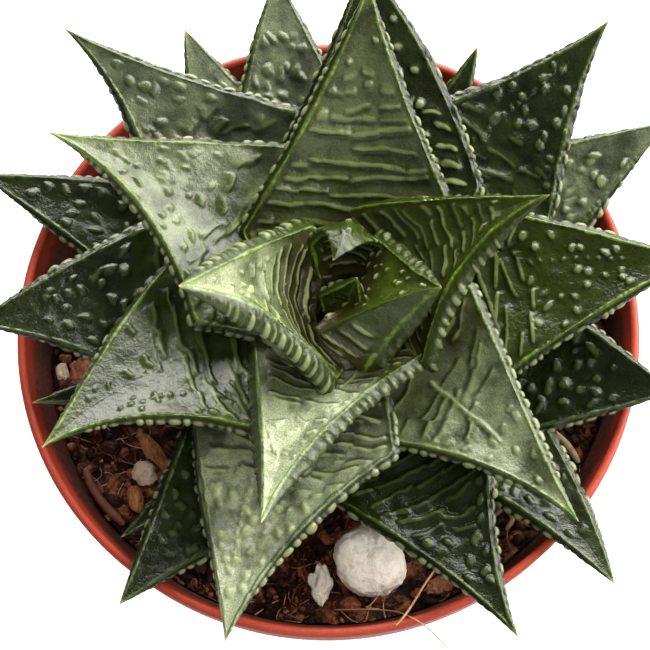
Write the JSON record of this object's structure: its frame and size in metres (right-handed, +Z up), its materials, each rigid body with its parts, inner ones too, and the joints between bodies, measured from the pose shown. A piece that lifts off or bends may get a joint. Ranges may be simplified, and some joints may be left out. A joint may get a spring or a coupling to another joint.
{
  "type": "potted haworthia",
  "caption": "Low rosette succulent with pointed, ridged fleshy leaves growing from peat mix in a round tapered plastic nursery pot with drainage holes.",
  "frame": {"origin": "centre of the pot's underside, in the plane it stands on", "axes": "+Z up along the pot's axis, -Y towards the front, +X to the right"},
  "size_m": [0.1186, 0.1192, 0.1296],
  "materials": {
    "pot_plastic": "satin",
    "young_leaf": "satin",
    "mature_leaf": "satin",
    "old_leaf": "satin",
    "stem": "matte",
    "white_stone": "matte",
    "cream_stone": "matte",
    "bark": "matte",
    "coir": "matte",
    "twig": "matte",
    "rootlet": "matte",
    "potting_mix": "matte"
  },
  "bodies": {
    "root": {"pot": "pot_plastic", "potting_mix": "potting_mix", "short_stem": "stem", "bud_leaf_1": "young_leaf", "bud_leaf_2": "young_leaf", "inner_leaf_1": "young_leaf", "inner_leaf_2": "young_leaf", "inner_leaf_3": "young_leaf", "inner_leaf_4": "young_leaf", "middle_leaf_1": "mature_leaf", "middle_leaf_2": "mature_leaf", "middle_leaf_3": "mature_leaf", "middle_leaf_4": "mature_leaf", "middle_leaf_5": "mature_leaf", "outer_leaf_1": "old_leaf", "outer_leaf_2": "old_leaf", "outer_leaf_3": "old_leaf", "outer_leaf_4": "old_leaf", "outer_leaf_5": "old_leaf", "outer_leaf_6": "old_leaf", "outer_leaf_7": "old_leaf", "outer_leaf_8": "old_leaf", "outer_leaf_9": "old_leaf", "outer_leaf_10": "old_leaf", "outer_leaf_11": "old_leaf", "outer_leaf_12": "old_leaf", "lowest_leaf_1": "old_leaf", "lowest_leaf_2": "old_leaf", "lowest_leaf_3": "old_leaf", "lowest_leaf_4": "old_leaf", "white_stone": "white_stone", "white_chip": "white_stone", "cream_pebble": "cream_stone", "pale_grit": "cream_stone", "bark_chunk": "bark", "bark_strip": "bark", "bark_flake_front_left": "bark", "bark_flake_right": "bark", "bark_flake_front": "bark", "coir_lump": "coir", "wall_twig": "twig", "pale_rootlet": "rootlet", "curled_rootlet": "rootlet", "coir_fibre_1": "coir", "coir_fibre_2": "coir", "coir_fibre_3": "coir"}
  },
  "joints": []
}
